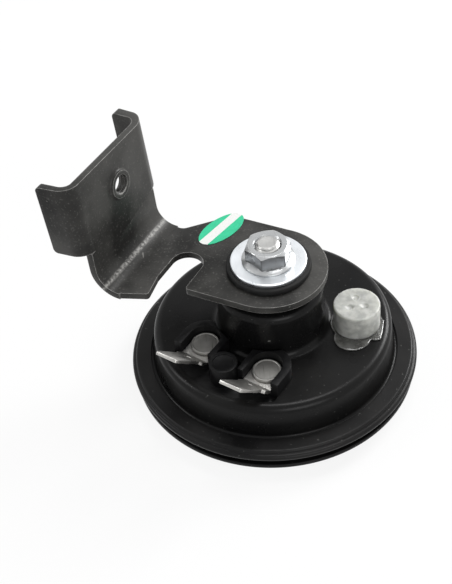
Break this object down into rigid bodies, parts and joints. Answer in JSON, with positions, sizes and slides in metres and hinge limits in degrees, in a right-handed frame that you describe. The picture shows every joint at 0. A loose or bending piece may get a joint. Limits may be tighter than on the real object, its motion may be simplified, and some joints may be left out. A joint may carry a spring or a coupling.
{
  "type": "car horn",
  "caption": "Black disc horn for a vehicle: drawn steel body on a tone disc, folded bracket with a tapped hole clamped on its stud, two blade terminals, capped adjuster.",
  "frame": {"origin": "on the horn's axis, in the plane that the tone disc rests on", "axes": "+Z along the threaded stud, away from the tone disc; the bracket runs out at 147 degrees from +X"},
  "size_m": [0.0892, 0.074, 0.0644],
  "materials": {
    "shell_black": "satin black baked paint",
    "bracket_black": "satin dark coating, worn at edges",
    "rubber": "matte",
    "gasket_paper": "pressed fibre",
    "zinc": "bright zinc plate",
    "spring_steel": "rolled",
    "tinned_brass": "tin plate",
    "spring_brass": "rolled",
    "copper_wire": "enamelled wire",
    "contact_metal": "bright",
    "block_plastic": "semi-gloss moulding",
    "bobbin_plastic": "moulded",
    "fibre": "pressed fibre",
    "cap_plastic": "natural translucent moulding",
    "sealant": "clear, glossy",
    "sticker_green": "printed film"
  },
  "bodies": {
    "horn_body": {"housing": "shell_black", "clamp_ring": "shell_black", "rim_gasket": "gasket_paper", "diaphragm": "spring_steel", "core_stud": "zinc", "coil_bobbin": "bobbin_plastic", "coil_winding": "copper_wire", "terminal_block": "block_plastic", "block_gasket": "rubber", "terminal_left": "tinned_brass", "terminal_right": "tinned_brass", "terminal_rivets": "zinc", "terminal_lug": "tinned_brass", "contact_arm": "zinc", "contact_spring": "spring_brass", "contact_moving": "contact_metal", "contact_fixed": "contact_metal", "insulator_upper": "fibre", "insulator_lower": "fibre", "insulator_middle": "fibre", "contact_post": "spring_brass", "contact_rivet": "zinc", "adjuster_bush": "zinc", "adjusting_screw": "zinc", "adjuster_cap": "cap_plastic", "sealant_bead": "sealant", "lower_rubber_washer": "rubber", "upper_rubber_washer": "rubber", "spacer_sleeve": "zinc", "plain_washer": "zinc", "flange_nut": "zinc", "bracket": "bracket_black", "inspection_sticker": "sticker_green"},
    "vibrating_disc": {"armature": "zinc", "hub_spacer": "zinc", "tone_disc": "shell_black", "hub_washer": "zinc"}
  },
  "joints": [
    {"name": "armature_stroke", "type": "slide", "parent": "horn_body", "child": "vibrating_disc", "axis": [0, 0, 1], "range_m": [-0.0004, 0.0006], "stiffness_N_per_m": 20000, "deforming": ["diaphragm", "contact_spring"]}
  ]
}
